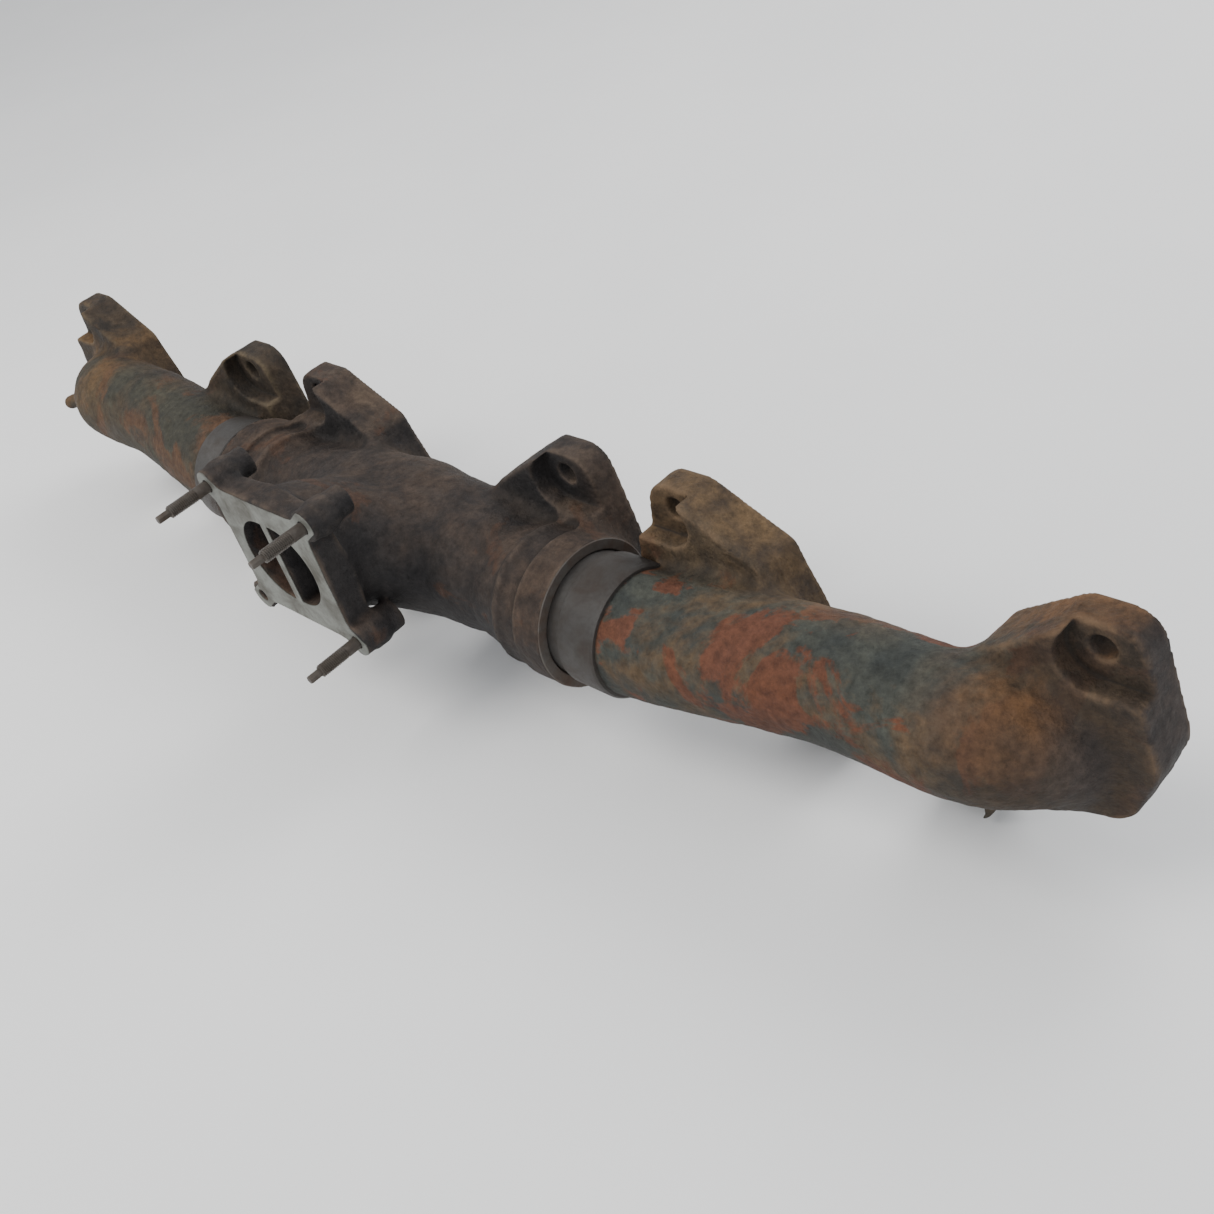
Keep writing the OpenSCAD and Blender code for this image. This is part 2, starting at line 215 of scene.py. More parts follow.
def surface(grid, field):
    """A quad mesh of the field's zero level: one point in each crossed cell."""
    f = field.astype(np.float32)
    for axis in range(3):
        edge = [slice(None)] * 3
        for end in (0, -1):
            edge[axis] = end
            f[tuple(edge)] = np.maximum(f[tuple(edge)], 0.01)
    nx, ny, nz = f.shape
    corner = {(i, j, k): f[i:nx - 1 + i, j:ny - 1 + j, k:nz - 1 + k]
              for i in (0, 1) for j in (0, 1) for k in (0, 1)}
    total = sum((c < 0).astype(np.int8) for c in corner.values())
    mixed = (total > 0) & (total < 8)
    cells = np.argwhere(mixed)
    value = {key: c[mixed] for key, c in corner.items()}
    point = np.zeros((len(cells), 3))
    count = np.zeros(len(cells))
    for a in value:
        for axis in range(3):
            if a[axis]:
                continue
            b = tuple(1 if i == axis else a[i] for i in range(3))
            fa, fb = value[a], value[b]
            cross = (fa < 0) != (fb < 0)
            t = np.where(cross, fa / np.where(cross, fa - fb, 1), 0)
            for i in range(3):
                point[:, i] += np.where(cross, a[i] + (t if i == axis else 0), 0)
            count += cross
    verts = (cells + point / count[:, None]) * grid.step + grid.low
    index = np.full(mixed.shape, -1, np.int64)
    index[mixed] = np.arange(len(cells))
    faces = []
    for axis in range(3):
        u, v = (axis + 1) % 3, (axis + 2) % 3
        lo = [slice(None)] * 3
        hi = [slice(None)] * 3
        lo[axis], hi[axis] = slice(0, -1), slice(1, None)
        for other in (u, v):
            lo[other] = slice(1, -1)
            hi[other] = slice(1, -1)
        a, b = f[tuple(lo)] < 0, f[tuple(hi)] < 0
        at = np.argwhere(a != b)
        inward = a[a != b]
        for other in (u, v):
            at[:, other] += 1
        ring = []
        for du, dv in ((-1, -1), (0, -1), (0, 0), (-1, 0)):
            q = at.copy()
            q[:, u] += du
            q[:, v] += dv
            ring.append(index[q[:, 0], q[:, 1], q[:, 2]])
        quad = np.stack(ring, 1)
        quad[~inward] = quad[~inward][:, ::-1]
        faces.append(quad)
    return verts, np.concatenate(faces)


def relax(verts, faces, keep, rounds=3, share=0.5):
    """Evens the points out, but for those that keep says."""
    pairs = np.concatenate([faces[:, [0, 1]], faces[:, [1, 2]], faces[:, [2, 3]], faces[:, [3, 0]]])
    n = len(verts)
    count = np.bincount(pairs[:, 0], minlength=n) + np.bincount(pairs[:, 1], minlength=n)
    weight = (share * (1 - keep))[:, None]
    for _ in range(rounds):
        total = np.zeros_like(verts)
        for i in range(3):
            total[:, i] = (np.bincount(pairs[:, 0], verts[pairs[:, 1], i], n)
                           + np.bincount(pairs[:, 1], verts[pairs[:, 0], i], n))
        verts = verts + weight * (total / np.maximum(count, 1)[:, None] - verts)
    return verts


def bulge(verts, faces):
    """How far each point stands out of its neighbourhood, from its neighbours' mean."""
    smooth = relax(verts, faces, np.zeros(len(verts)), 10, 0.5)
    p = verts[faces]
    normal = np.cross(p[:, 2] - p[:, 0], p[:, 3] - p[:, 1])
    total = np.zeros_like(verts)
    for c in range(4):
        for i in range(3):
            total[:, i] += np.bincount(faces[:, c], normal[:, i], len(verts))
    total /= np.linalg.norm(total, axis=1)[:, None] + 1e-9
    return ((verts - smooth) * total).sum(1), total


# ---- objects ----

LOW = [c / MM + 0.02 for c in START_BOX[0]]
HIGH = [c / MM - 0.02 for c in START_BOX[1]]


def add_mesh(name, verts, faces, material, body, smooth=True, layers=None):
    verts = np.clip(np.asarray(verts, float), LOW, HIGH) * MM
    faces = np.asarray(faces)
    mesh = bpy.data.meshes.new(name)
    mesh.vertices.add(len(verts))
    mesh.vertices.foreach_set("co", verts.astype(np.float32).ravel())
    size = faces.shape[1]
    mesh.loops.add(faces.size)
    mesh.loops.foreach_set("vertex_index", faces.astype(np.int32).ravel())
    mesh.polygons.add(len(faces))
    mesh.polygons.foreach_set("loop_start", np.arange(0, faces.size, size, dtype=np.int32))
    mesh.polygons.foreach_set("use_smooth", np.full(len(faces), smooth))
    for key, values in (layers or {}).items():
        layer = mesh.attributes.new(key, "FLOAT", "POINT")
        layer.data.foreach_set("value", np.asarray(values, np.float32))
    mesh.update(calc_edges=True)
    mesh.validate()
    mesh.materials.append(material)
    o = bpy.data.objects.new(name, mesh)
    bpy.context.scene.collection.objects.link(o)
    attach(o, body)
    return o


def lathe_x(name, profile, y, z, mirror, material, body, segments=160, angle=40):
    """Turns a closed outline of (x, radius) about an axis along X."""
    n = len(profile)
    verts, faces = [], []
    for s in range(segments):
        a = 2 * math.pi * s / segments
        for x, r in profile:
            verts.append((ROW_X + mirror * x, y + r * math.cos(a), z + r * math.sin(a)))
        for i in range(n):
            j, t = (i + 1) % n, (s + 1) % segments
            q = [s * n + i, s * n + j, t * n + j, t * n + i]
            faces.append(q[::-1] if mirror > 0 else q)
    o = add_mesh(name, verts, faces, material, body)
    o.data.set_sharp_from_angle(angle=math.radians(angle))
    return o


# ---- materials ----

class Nodes:
    def __init__(self, name):
        self.material = bpy.data.materials.new(name)
        self.material.use_nodes = True
        self.tree = self.material.node_tree
        self.shader = self.tree.nodes["Principled BSDF"]
        self.place = self.add("ShaderNodeTexCoord").outputs["Object"]

    def add(self, kind, **settings):
        n = self.tree.nodes.new(kind)
        for key, value in settings.items():
            setattr(n, key, value)
        return n

    def set(self, n, key, value):
        if hasattr(value, "is_linked") or hasattr(value, "node"):
            self.tree.links.new(value, n.inputs[key])
        else:
            n.inputs[key].default_value = value

    def noise(self, scale, detail=4.0, rough=0.6, distort=0.0, at=None):
        n = self.add("ShaderNodeTexNoise")
        self.set(n, "Vector", at or self.place)
        for key, value in (("Scale", scale), ("Detail", detail), ("Roughness", rough),
                           ("Distortion", distort)):
            n.inputs[key].default_value = value
        return n.outputs["Fac"]

    def cells(self, scale, feature="F1"):
        n = self.add("ShaderNodeTexVoronoi", feature=feature)
        self.set(n, "Vector", self.place)
        n.inputs["Scale"].default_value = scale
        return n.outputs["Distance"]

    def ramp(self, fac, low, high, a=0.0, b=1.0):
        n = self.add("ShaderNodeMapRange", clamp=True)
        for key, value in (("Value", fac), ("From Min", low), ("From Max", high),
                           ("To Min", a), ("To Max", b)):
            self.set(n, key, value)
        return n.outputs["Result"]

    def math(self, op, a, b=0.0, clamp=False):
        n = self.add("ShaderNodeMath", operation=op, use_clamp=clamp)
        self.set(n, 0, a)
        self.set(n, 1, b)
        return n.outputs["Value"]

    def mix(self, fac, a, b, blend="MIX"):
        n = self.add("ShaderNodeMix", data_type="RGBA", blend_type=blend)
        self.set(n, 0, fac)
        self.set(n, 6, (*a, 1) if isinstance(a, tuple) else a)
        self.set(n, 7, (*b, 1) if isinstance(b, tuple) else b)
        return n.outputs[2]

    def layer(self, name):
        n = self.add("ShaderNodeAttribute", attribute_name=name)
        return n.outputs["Fac"]

    def axis(self, name):
        n = self.add("ShaderNodeSeparateXYZ")
        self.set(n, 0, self.place)
        return n.outputs[name]

    def facing(self, name):
        n = self.add("ShaderNodeSeparateXYZ")
        self.set(n, 0, self.add("ShaderNodeNewGeometry").outputs["Normal"])
        return n.outputs[name]

    def bump(self, heights, distance=0.0006, strength=1.0):
        last = None
        for h, share in heights:
            n = self.add("ShaderNodeBump")
            n.inputs["Distance"].default_value = distance * share
            n.inputs["Strength"].default_value = strength
            self.set(n, "Height", h)
            if last is not None:
                self.set(n, "Normal", last)
            last = n.outputs["Normal"]
        self.set(self.shader, "Normal", last)


def cast_iron(name, shade_tone, worn, paint):
    """Sand-cast iron: paint gives its oxides, then painted shade in hollows and on downward faces, worn
    edges and pits.
    """
    m = Nodes(name)
    mid = m.noise(38, 6, 0.68, 0.4)
    fine = m.noise(190, 6, 0.72)
    grain = m.noise(620, 4, 0.7)
    pits = m.cells(260)
    base = paint(m, mid)
    speck = m.ramp(fine, 0.30, 0.72, 0.34, 0.92)
    grey = m.add("ShaderNodeCombineColor")
    for key in ("Red", "Green", "Blue"):
        m.set(grey, key, speck)
    base = m.mix(1.0, base, grey.outputs["Color"], "MULTIPLY")
    # Painted shade: hollows, found from the bulge layer, are darkened towards the shade tone
    painted_hollow_shade = m.ramp(m.layer("bulge"), -0.55, 0.05, 1.0, 0.0)
    base = m.mix(m.math("MULTIPLY", painted_hollow_shade, 0.8), base, tuple(c * 0.30 for c in shade_tone))
    edge = m.math("MULTIPLY", m.ramp(m.layer("bulge"), 0.10, 0.55), m.ramp(mid, 0.4, 0.62))
    base = m.mix(m.math("MULTIPLY", edge, 0.5), base, worn)
    # Painted shade: faces turned downwards are darkened towards the shade tone, as if lit from above
    painted_underside_shade = m.ramp(m.facing("Z"), -0.9, 0.35, 0.65, 0.0)
    base = m.mix(painted_underside_shade, base, tuple(c * 0.40 for c in shade_tone))
    m.set(m.shader, "Base Color", base)
    m.set(m.shader, "Roughness", m.ramp(mid, 0.3, 0.7, 0.62, 0.90))
    m.set(m.shader, "Metallic", 0.2)
    m.set(m.shader, "Specular IOR Level", 0.3)
    m.bump([(fine, 2.0), (grain, 0.6), (m.ramp(pits, 0.0, 0.35), 0.7), (mid, 3.0)], 0.0005)
    return m.material


def patch(m, scale, start, width, detail=8, rough=0.62, distort=0.5):
    """Blotches with edges as soft as the width."""
    return m.ramp(m.noise(scale, detail, rough, distort), start, start + width)


def times(m, *parts):
    out = parts[0]
    for part in parts[1:]:
        out = m.math("MULTIPLY", out, part)
    return out


def rear_paint(m, mid):
    """Green-grey tube with red rust, tan at the inner port, brown at the last bend; orange rust on the
    last bend's upward faces, kept to the tops as painted top light, and painted shade on faces towards +X
    at the far end.
    """
    x, y = m.axis("X"), m.axis("Y")
    up = m.ramp(m.facing("Z"), 0.0, 0.9)
    base = m.mix(m.ramp(mid, 0.36, 0.64), (0.046, 0.052, 0.047), (0.094, 0.098, 0.080))
    base = m.mix(times(m, patch(m, 13, 0.50, 0.10), 0.75), base, (0.175, 0.105, 0.050))
    base = m.mix(times(m, patch(m, 19, 0.515, 0.035), 0.85), base, (0.190, 0.066, 0.034))
    tan = m.mix(m.ramp(mid, 0.38, 0.62), (0.085, 0.056, 0.034), (0.220, 0.140, 0.072))
    inner = times(m, m.ramp(y, 0.090, 0.118), m.ramp(x, 0.335, 0.365, 1.0, 0.0))
    base = m.mix(inner, base, tan)
    bend = m.mix(m.ramp(mid, 0.38, 0.62), (0.048, 0.034, 0.025), (0.108, 0.072, 0.045))
    base = m.mix(times(m, m.ramp(x, 0.385, 0.425), 0.9), base, bend)
    # Orange rust on the last bend, only on upward faces: real rust, with painted top light
    base = m.mix(times(m, m.ramp(x, 0.375, 0.42), up, patch(m, 15, 0.44, 0.14), 0.85), base,
                 (0.235, 0.115, 0.048))
    # Painted shade: faces towards +X at the far end are darkened to grey
    side = times(m, m.ramp(m.facing("X"), 0.35, 0.8), m.ramp(x, 0.43, 0.45), 0.8)
    return m.mix(side, base, m.mix(m.ramp(mid, 0.4, 0.6), (0.040, 0.033, 0.032), (0.080, 0.066, 0.062)))


def front_paint(m, mid):
    """Olive-grey tube, ochre and rust on the last bend's upward faces, kept to the tops as painted top
    light, brown flanges.
    """
    x, y = m.axis("X"), m.axis("Y")
    up = m.ramp(m.facing("Z"), 0.0, 0.9)
    base = m.mix(m.ramp(mid, 0.36, 0.64), (0.044, 0.043, 0.034), (0.092, 0.086, 0.062))
    base = m.mix(times(m, patch(m, 12, 0.48, 0.14), 0.7), base, (0.120, 0.078, 0.044))
    base = m.mix(times(m, patch(m, 17, 0.54, 0.05), 0.7), base, (0.150, 0.070, 0.034))
    plate = m.mix(m.ramp(mid, 0.38, 0.62), (0.036, 0.027, 0.021), (0.098, 0.068, 0.045))
    base = m.mix(times(m, m.ramp(y, 0.088, 0.112), 0.9), base, plate)
    last = m.ramp(x, -0.375, -0.335, 1.0, 0.0)
    # Ochre rust on the last bend, only on upward faces: real rust, with painted top light
    return m.mix(times(m, last, up, patch(m, 14, 0.40, 0.16), 0.9), base, (0.215, 0.120, 0.048))


def centre_paint(m, mid):
    """Dark brown, charcoal on the flanks, browner at the collars; upward faces lighter brown, and paler
    still on the flanges, as painted top light mixed with dust.
    """
    x, y = m.axis("X"), m.axis("Y")
    up = m.ramp(m.facing("Z"), 0.1, 0.95)
    base = m.mix(m.ramp(mid, 0.36, 0.64), (0.026, 0.024, 0.025), (0.056, 0.050, 0.048))
    # Upward faces lighter brown: painted top light mixed with dust
    top = m.mix(m.ramp(mid, 0.38, 0.62), (0.044, 0.031, 0.025), (0.105, 0.072, 0.053))
    base = m.mix(times(m, up, patch(m, 10, 0.34, 0.22), 0.95), base, top)
    far = m.ramp(m.math("ABSOLUTE", m.math("SUBTRACT", x, 0.0085)), 0.118, 0.142)
    base = m.mix(times(m, far, 0.8), base,
                 m.mix(m.ramp(mid, 0.38, 0.62), (0.050, 0.034, 0.026), (0.110, 0.072, 0.050)))
    # Upward faces of the flanges paler: painted top light mixed with dust
    pale = times(m, m.ramp(y, 0.095, 0.125), up, patch(m, 16, 0.42, 0.14), 0.8)
    base = m.mix(pale, base, (0.170, 0.118, 0.080))
    return m.mix(times(m, patch(m, 21, 0.58, 0.05), 0.5), base, (0.120, 0.056, 0.030))


def machined(name, tone, stain, rough=0.38, metal=0.75, lines=0.0):
    """Cut metal with fine tool marks, stained by heat and light rust."""
    m = Nodes(name)
    mid = m.noise(45, 5, 0.65, 0.5)
    fine = m.noise(350, 4, 0.6)
    base = m.mix(m.ramp(mid, 0.42, 0.68), tone, stain)
    base = m.mix(m.ramp(fine, 0.45, 0.75, 0.0, 0.35), base, tuple(c * 0.5 for c in stain))
    m.set(m.shader, "Base Color", base)
    m.set(m.shader, "Metallic", metal)
    m.set(m.shader, "Roughness", m.ramp(mid, 0.3, 0.7, rough, rough + 0.22))
    heights = [(fine, 0.4), (mid, 0.5)]
    if lines:
        wave = m.add("ShaderNodeTexWave", wave_type="BANDS", bands_direction="X")
        m.set(wave, "Vector", m.place)
        wave.inputs["Scale"].default_value = lines
        wave.inputs["Distortion"].default_value = 0.4
        heights.append((wave.outputs["Fac"], 0.25))
    m.bump(heights, 0.0003)
    return m.material


front_iron = cast_iron("front_cast_iron", (0.045, 0.038, 0.028), (0.170, 0.130, 0.080), front_paint)
centre_iron = cast_iron("centre_cast_iron", (0.034, 0.029, 0.027), (0.135, 0.098, 0.072), centre_paint)
rear_iron = cast_iron("rear_cast_iron", (0.045, 0.036, 0.028), (0.210, 0.135, 0.080), rear_paint)
face_metal = machined("machined_face", (0.175, 0.180, 0.160), (0.080, 0.074, 0.060), 0.5, 0.4)
turned_metal = machined("turned_iron", (0.052, 0.048, 0.044), (0.040, 0.030, 0.024), 0.45, 0.35, 900.0)
bore_metal = machined("collar_bore", (0.10, 0.09, 0.08), (0.08, 0.05, 0.035), 0.5, 0.5)
stud_metal = machined("stud_steel", (0.085, 0.074, 0.064), (0.055, 0.040, 0.030), 0.42, 0.55)
ring_metal = machined("seal_ring_iron", (0.30, 0.30, 0.29), (0.16, 0.14, 0.12), 0.3, 0.8)


# ---- castings ----

def flange(grid, x, hand, shoulder):
    """A port flange and the cuts for its bolts and gas port."""
    flat = grid.outline_xz(flange_outline(x, hand, shoulder))
    solid = grid.slab(flat + SKIN, HEAD_Y - FLANGE_T + 0.2, HEAD_Y, 2.2)
    seats, holes = [], []
    for s in (-1, 1):
        bx, bz, out = x + s * hand * BOLT_X, PORT_Z + s * BOLT_Z, s * hand
        round_end = np.sqrt((grid.X - bx) ** 2 + (grid.Z - bz) ** 2) - SEAT_D / 2
        along = out * (grid.X - bx)
        slot = np.maximum(np.maximum(np.abs(grid.Z - bz) - SEAT_D / 2, -along), along - 2 * BOSS_SIDE)
        cut = np.minimum(round_end, slot)
        seats.append(np.maximum(cut, np.abs(grid.Y - (HEAD_Y - SEAT_T - 10)) - 10))
        holes.append(grid.tube_y(bx, bz, HOLE_D / 2, HEAD_Y - FLANGE_T - 2, HEAD_Y + 2))
    return solid, seats, holes


def port_bore(grid, x, start):
    """The gas passage behind a port's face."""
    return grid.tube_y(x, PORT_Z, PORT_D / 2, start, HEAD_Y + PAST)


def swing(t):
    """How far a section's log has moved from its collar's height to its last port's."""
    return t * t * (3 - 2 * t) * 0.45 + t * 0.55


def end_route(side):
    """Centre line and radii of an end section's log, from the shoulder to the last port."""
    pts, rad = [], []
    for t in np.linspace(0, 1, 9):
        x = SWING_FROM + (SWING_TO - SWING_FROM) * t
        w = swing(t)
        pts.append((ROW_X + side * x, LOG_Y + (END_Y - LOG_Y) * w, LOG_Z + (END_Z - LOG_Z) * w))
        rad.append(LOG_R - LOG_THIN * t)
    for t in np.linspace(0, math.pi / 2, 8):
        b = LAST_BEND * (1 - math.cos(t))
        pts.append((ROW_X + side * (ELBOW_X - LAST_BEND + LAST_BEND * math.sin(t)),
                    END_Y + b * math.cos(LAST_TILT), END_Z - b * math.sin(LAST_TILT)))
        rad.append(LAST_R + LAST_SWELL * math.sin(2 * t))
    start = (ROW_X + side * (SHOULDER_X + 6), LOG_Y, LOG_Z)
    return [start] + pts, [LOG_R] + rad


def wobble(verts, size, height, seed):
    """Slow unevenness of a sand mould."""
    out = np.empty(len(verts))
    shift = Vector((seed * 7.3, seed * 3.1, seed * 5.7))
    for i, v in enumerate(verts):
        out[i] = noise.noise(Vector(v) / size + shift)
    return out * height


def cast(name, grid, field, material, body, node, keep_of, seed):
    """Adds a field's surface as a sand casting, flat where keep_of says, in place of its CAD node."""
    verts, faces = surface(grid, field)
    keep = keep_of(verts)
    verts = relax(verts, faces, keep, 2, 0.40)
    stand, normal = bulge(verts, faces)
    rough = wobble(verts, 14, 0.55, seed) + wobble(verts, 4.5, 0.28, seed + 4)
    verts = verts + normal * ((rough - 0.15) * (1 - keep))[:, None]
    o = add_mesh(name, verts, faces, material, body, layers={"bulge": stand})
    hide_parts(node)
    return o


def near(values, places, width):
    """1 where a value is within width of one of the places, else 0."""
    out = np.zeros(len(values))
    for p in places:
        out = np.maximum(out, (np.abs(values - p) < width).astype(float))
    return out


def end_casting(side, near_shoulder, last_shoulder, material, body, node, lug, seed):
    """An end section: two ports on a log that bends into the last one."""
    far = ROW_X + side * (ELBOW_X + 42 + (16 if lug else 0))
    start = ROW_X + side * (SHOULDER_X + SHOULDER_LEN - 10)
    last_edge = ROW_X + side * (2.5 * PITCH + FLANGE_SIDE + 6)
    near_edge = ROW_X + side * (1.5 * PITCH - FLANGE_SIDE - 6)
    xs = sorted((min(start, near_edge, key=lambda q: side * q),
                 max(far, last_edge, key=lambda q: side * q)))
    grid = Grid((xs[0], 42, PORT_Z - 78), (xs[1], HEAD_Y + 3, PORT_Z + 78))
    near_x, last_x = ROW_X + side * 1.5 * PITCH, ROW_X + side * 2.5 * PITCH
    route, radii = end_route(side)
    log = grid.path(route, radii)
    cut_x = ROW_X + side * (SHOULDER_X + SHOULDER_LEN - 2)
    log = np.maximum(log, side * (cut_x - grid.X))
    neck = grid.tube_y(near_x, PORT_Z, NECK_R, LOG_Y, HEAD_Y - 4)
    last_neck = grid.tube_y(last_x, PORT_Z, NECK_R, END_Y + 14, HEAD_Y - 4)
    body_field = smooth_min(log, neck, BLEND_NECK)
    body_field = smooth_min(body_field, last_neck, BLEND_NECK)
    if lug:
        tip = (ROW_X + side * (ELBOW_X + 40), END_Y - 14, END_Z - 11)
        root = (ROW_X + side * (ELBOW_X - 4), END_Y + 4, END_Z)
        body_field = smooth_min(body_field, grid.bar(root, tip, 7, 5.5), 7)
    f1, s1, h1 = flange(grid, near_x, -side, near_shoulder)
    f2, s2, h2 = flange(grid, last_x, side, last_shoulder)
    flanges = np.minimum(f1, f2)
    field = smooth_min(body_field, flanges, BLEND_FLANGE)
    field = np.maximum(field, grid.Y - HEAD_Y)
    for s in s1 + s2:
        field = smooth_max(field, -s, BLEND_SEAT)
    for h in h1 + h2:
        field = np.maximum(field, -h)
    inner = [(ROW_X + side * SPIGOT_END, LOG_Y, LOG_Z)] + route[1:]
    bore = grid.path(inner, [BORE_D / 2] * len(inner))
    for x in (near_x, last_x):
        bore = smooth_min(bore, port_bore(grid, x, LOG_Y + 20), BLEND_BORE)
    field = np.maximum(field, -bore)
    mouth = grid.tube_x(LOG_Y, LOG_Z, BORE_D / 2, *sorted((cut_x - side * 20, cut_x + side * 20)))
    field = np.maximum(field, -mouth)
    for x in (near_x, last_x):
        field = np.maximum(field, -port_bore(grid, x, HEAD_Y - 20))

    def keep_of(v):
        return np.maximum(near(v[:, 1], (HEAD_Y, HEAD_Y - SEAT_T), 0.5), near(v[:, 0], (cut_x,), 1.0))

    return cast(name=body + "_casting", grid=grid, field=field, material=material, body=body,
                node=node, keep_of=keep_of, seed=seed)


def half_centre(grid, side, shoulder):
    """Half of the centre section: a port, the log and its collar, and what is cut from them."""
    x0 = ROW_X + side * PITCH / 2
    pts, rad = [], []
    for x, w in ((0, 1), (20, 1), (34, 0.98), (46, 0.90), (60, 0.66), (74, 0.36), (86, 0.12),
                 (96, 0), (140, 0)):
        pts.append((ROW_X + side * x, LOG_Y + (END_Y - LOG_Y) * w, LOG_Z + (END_Z - LOG_Z) * w))
        rad.append(33.4 if x < 100 else 34.0)
    log = grid.path(pts, rad)
    log = np.maximum(log, side * (grid.X - (ROW_X + side * 140)))
    xa, xb = ROW_X + side * (NECK_FROM - 2), ROW_X + side * (COLLAR_END - COLLAR_DEPTH)
    lo, hi = sorted((xa, xb))
    ra, rb = (33.0, BELL_D / 2) if side > 0 else (BELL_D / 2, 33.0)
    cone = grid.cone_x(LOG_Y, LOG_Z, lo, ra, hi, rb)
    end = ROW_X + side * (COLLAR_END - SKIN)
    bell = grid.tube_x(LOG_Y, LOG_Z, BELL_D / 2, *sorted((xb - side, end)))
    step = ROW_X + side * (COLLAR_END - COLLAR_BAND)
    band = grid.tube_x(LOG_Y, LOG_Z, COLLAR_D / 2 - 0.2, *sorted((step, end)))
    collar = smooth_min(smooth_min(cone, bell, 5), band, 2)
    collar = np.maximum(collar, side * (grid.X - end))
    neck = grid.tube_y(x0, PORT_Z, NECK_R, LOG_Y, HEAD_Y - 4)
    field = smooth_min(smooth_min(log, collar, 6), neck, BLEND_NECK)
    fl, seats, holes = flange(grid, x0, side, shoulder)
    field = smooth_min(field, fl, BLEND_FLANGE)
    bore = grid.path(pts[1:-1], [BORE_D / 2] * (len(pts) - 2))
    bore = smooth_min(bore, port_bore(grid, x0, LOG_Y + 20), BLEND_BORE)
    mouth = grid.tube_x(LOG_Y, LOG_Z, COLLAR_BORE / 2 + SKIN,
                        *sorted((ROW_X + side * (COLLAR_END - COLLAR_DEPTH), end + side * 3)))
    bore = np.minimum(bore, mouth)
    return field, seats, holes, bore


def duct_route(side, offset):
    """Centre line of a duct from the flange face to the log; offset is its distance from the wall."""
    pts = [(side * offset, 0.0, 0.0), (side * offset, DUCT_STRAIGHT, 0.0)]
    r = DUCT_X - offset
    for t in np.linspace(0, math.pi / 2, 9)[1:]:
        s = r * math.sin(t)
        pts.append((side * (DUCT_X - r * math.cos(t)), DUCT_STRAIGHT + s * math.cos(DUCT_TILT),
                    -s * math.sin(DUCT_TILT)))
    return pts


def centre_casting():
    """The centre section: two halves, and two ducts from the turbocharger flange."""
    reach = COLLAR_END + 3
    grid = Grid((ROW_X - reach, -3, PORT_Z - 78), (ROW_X + reach, HEAD_Y + 3, 55))
    left, seats, holes, bore = half_centre(grid, -1, SHOULDER_ODD)
    right, seats2, holes2, bore2 = half_centre(grid, 1, SHOULDER_EVEN)
    field = smooth_min(left, right, BLEND_DUCT)
    for side in (-1, 1):
        route = duct_route(side, DUCT_SIDE)
        duct = grid.path(route, [DUCT_R] * len(route))
        field = smooth_min(field, duct, BLEND_DUCT)
    flat = np.maximum(np.abs(grid.X) - TURBO_HALF_X, np.abs(grid.Z) - TURBO_HALF_Z)
    for x, z in STUD_PLACES:
        corner = np.sqrt((grid.X - x) ** 2 + (grid.Z - z) ** 2) - TURBO_CORNER_R
        flat = smooth_min(flat, corner, 4)
    plate = grid.slab(flat, SKIN, TURBO_T, 0.8)
    field = smooth_min(field, smooth_max(plate, grid.Y - TURBO_T, 4), BLEND_NECK)
    for x, z in STUD_PLACES:
        field = smooth_min(field, grid.tube_y(x, z, TURBO_BOSS_R, 10, 30), 6)
    field = np.maximum(field, SKIN - grid.Y)
    field = np.maximum(field, grid.Y - HEAD_Y)
    for s in seats + seats2:
        field = smooth_max(field, -s, BLEND_SEAT)
    for h in holes + holes2:
        field = np.maximum(field, -h)
    inner = np.minimum(bore, bore2)
    for side in (-1, 1):
        route = duct_route(side, DUCT_SIDE + 1.5)[1:]
        pipe = grid.path(route, [DUCT_BORE_R] * len(route))
        opening = np.maximum(np.sqrt((grid.X - side * DUCT_SIDE) ** 2 + grid.Z ** 2) - OPENING_R,
                             DIVIDER / 2 - side * grid.X)
        straight = np.maximum(opening, grid.Y - 26)
        inner = np.minimum(inner, np.maximum(smooth_min(pipe, straight, 6), DIVIDER / 2 - side * grid.X))
    field = np.maximum(field, -inner)
    for x, z in STUD_PLACES:
        field = np.maximum(field, -grid.tube_y(x, z, TAPPED_R, -5, TAPPED_DEPTH))

    def keep_of(v):
        ends = near(v[:, 0], (ROW_X - COLLAR_END + SKIN, ROW_X + COLLAR_END - SKIN), 1.0)
        return np.maximum(near(v[:, 1], (HEAD_Y, HEAD_Y - SEAT_T, SKIN), 0.6), ends)

    return cast(name="centre_casting", grid=grid, field=field, material=centre_iron, body="centre",
                node="centre_section", keep_of=keep_of, seed=3)


centre_casting()
end_casting(-1, SHOULDER_EVEN, SHOULDER_ODD, front_iron, "front_end", "front_section",
            True, 5)
end_casting(1, SHOULDER_ODD, SHOULDER_EVEN, rear_iron, "rear_end", "rear_section",
            False, 8)

# ---- machined pieces of the castings ----

